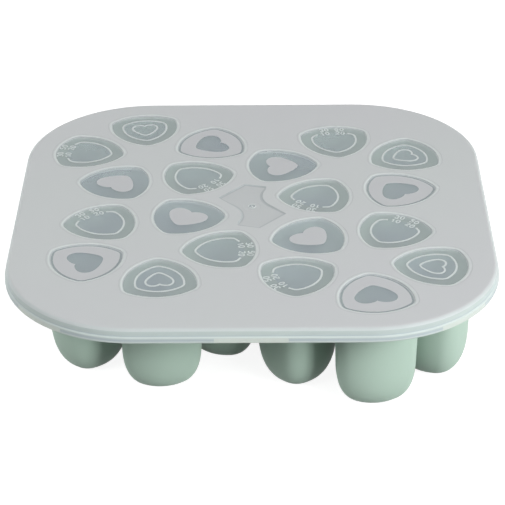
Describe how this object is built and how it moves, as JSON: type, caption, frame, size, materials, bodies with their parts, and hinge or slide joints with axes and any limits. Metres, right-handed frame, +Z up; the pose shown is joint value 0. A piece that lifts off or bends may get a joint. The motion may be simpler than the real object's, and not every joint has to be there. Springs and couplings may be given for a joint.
{
  "type": "baby food freezer tray",
  "caption": "Soft silicone tray of deep rounded three-cornered cups hanging from a flat deck, with a stiff frosted press-on lid that has a clear window over every cup.",
  "frame": {"origin": "on the table under the middle of the tray", "axes": "+Z up, from the cups' feet to the lid; -Y is the front edge; +X to the right seen from the front"},
  "size_m": [0.236, 0.236, 0.054],
  "materials": {
    "lid": "frosted translucent polypropylene with polished clear windows",
    "tray": "matt soft silicone, sage green"
  },
  "bodies": {
    "tray": {"tray_rim": "tray", "cup_01": "tray", "cup_02": "tray", "cup_03": "tray", "cup_04": "tray", "cup_05": "tray", "cup_06": "tray", "cup_07": "tray", "cup_08": "tray", "cup_09": "tray", "cup_10": "tray", "cup_11": "tray", "cup_12": "tray", "cup_13": "tray", "cup_14": "tray", "cup_15": "tray", "cup_16": "tray", "cup_17": "tray", "cup_18": "tray", "cup_19": "tray", "cup_20": "tray"},
    "lid": {"lid_panel": "lid", "lid_skirt": "lid"}
  },
  "joints": [
    {"name": "lid_lift", "type": "slide", "parent": "tray", "child": "lid", "axis": [0, 0, 1], "range_m": [0, 0.06]}
  ]
}
